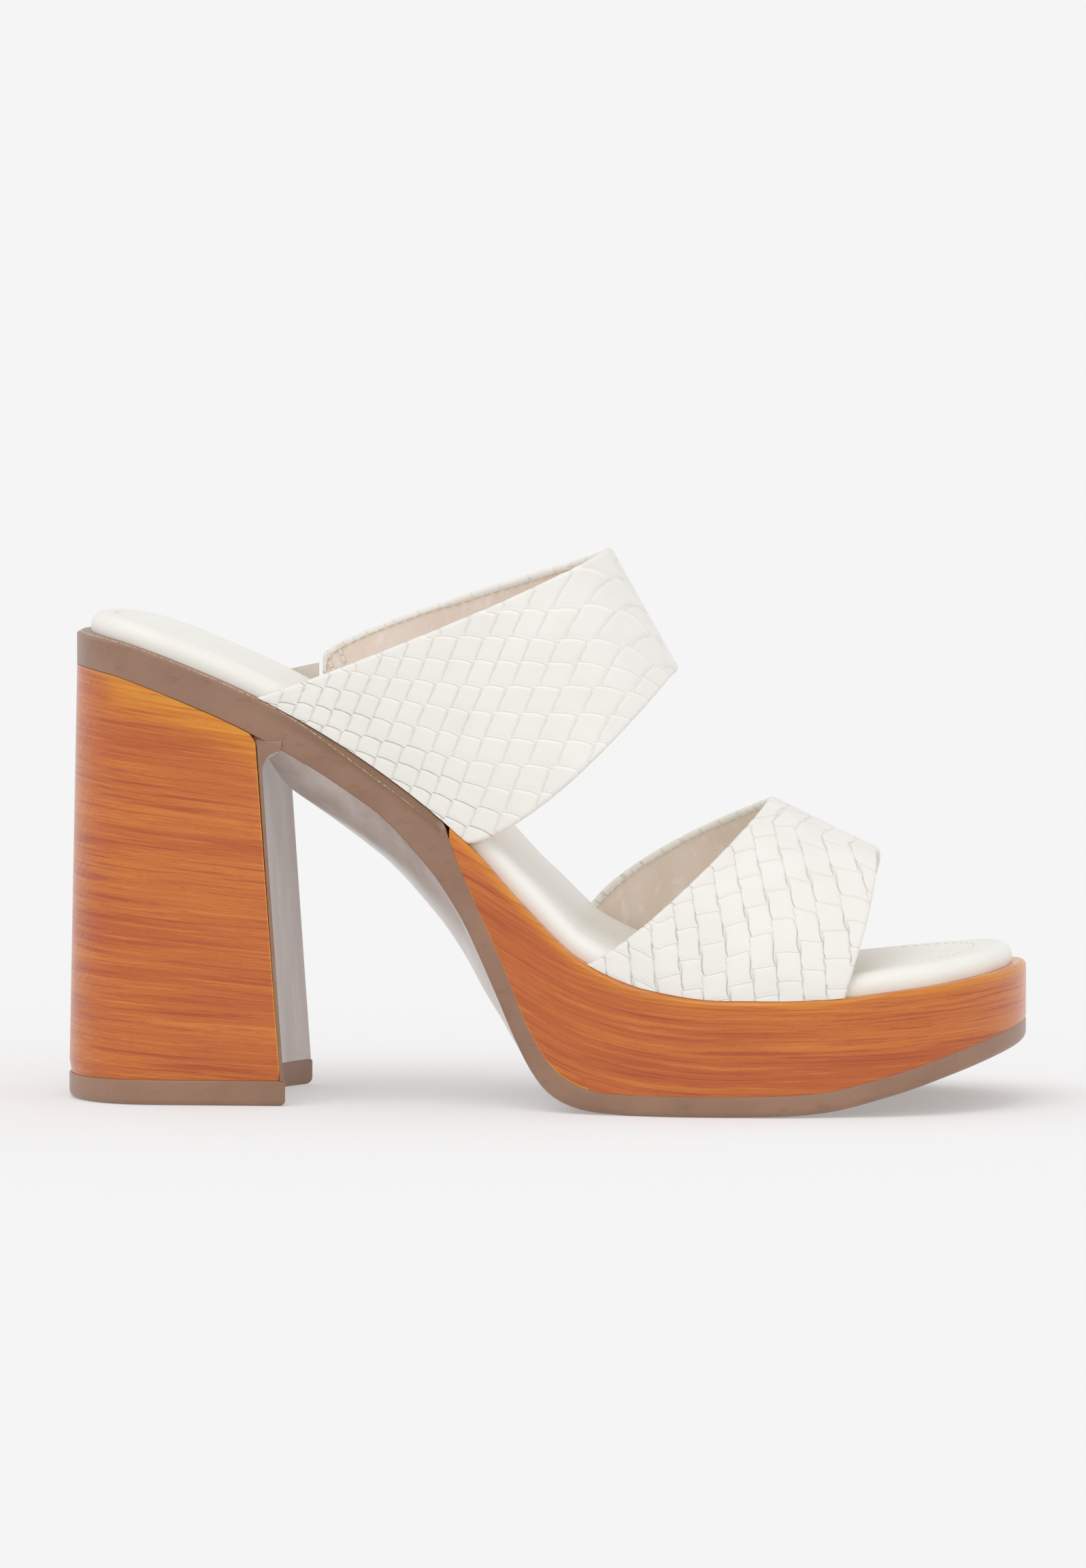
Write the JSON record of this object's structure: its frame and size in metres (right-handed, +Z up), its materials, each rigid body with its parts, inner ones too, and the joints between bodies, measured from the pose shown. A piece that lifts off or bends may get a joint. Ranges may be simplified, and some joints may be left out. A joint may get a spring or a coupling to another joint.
{
  "type": "block heel platform mule sandal",
  "caption": "Open-toe slip-on platform sandal with a high block heel, wood-look sides, padded footbed and wide embossed instep and toe straps.",
  "frame": {"origin": "centre of the bounding box at floor level, under the middle of the shoe", "axes": "+X towards the toe, +Y towards the inner side of the foot, +Z up"},
  "size_m": [0.2304, 0.0908, 0.133],
  "materials": {
    "brown_unit": "satin moulded taupe brown",
    "wood_look": "glossy orange-brown grain film with fine embossed ridges",
    "brown_lift": "matte",
    "footbed": "smooth off-white, soft sheen",
    "cream_strap": "matte off-white with a scaly reptile emboss",
    "elastic": "ribbed knit"
  },
  "bodies": {
    "root": {"outsole": "brown_unit", "platform": "wood_look", "heel_block": "wood_look", "top_lift": "brown_lift", "insole": "footbed", "strap_back": "cream_strap", "strap_front": "cream_strap", "elastic_gore": "elastic"}
  },
  "joints": []
}
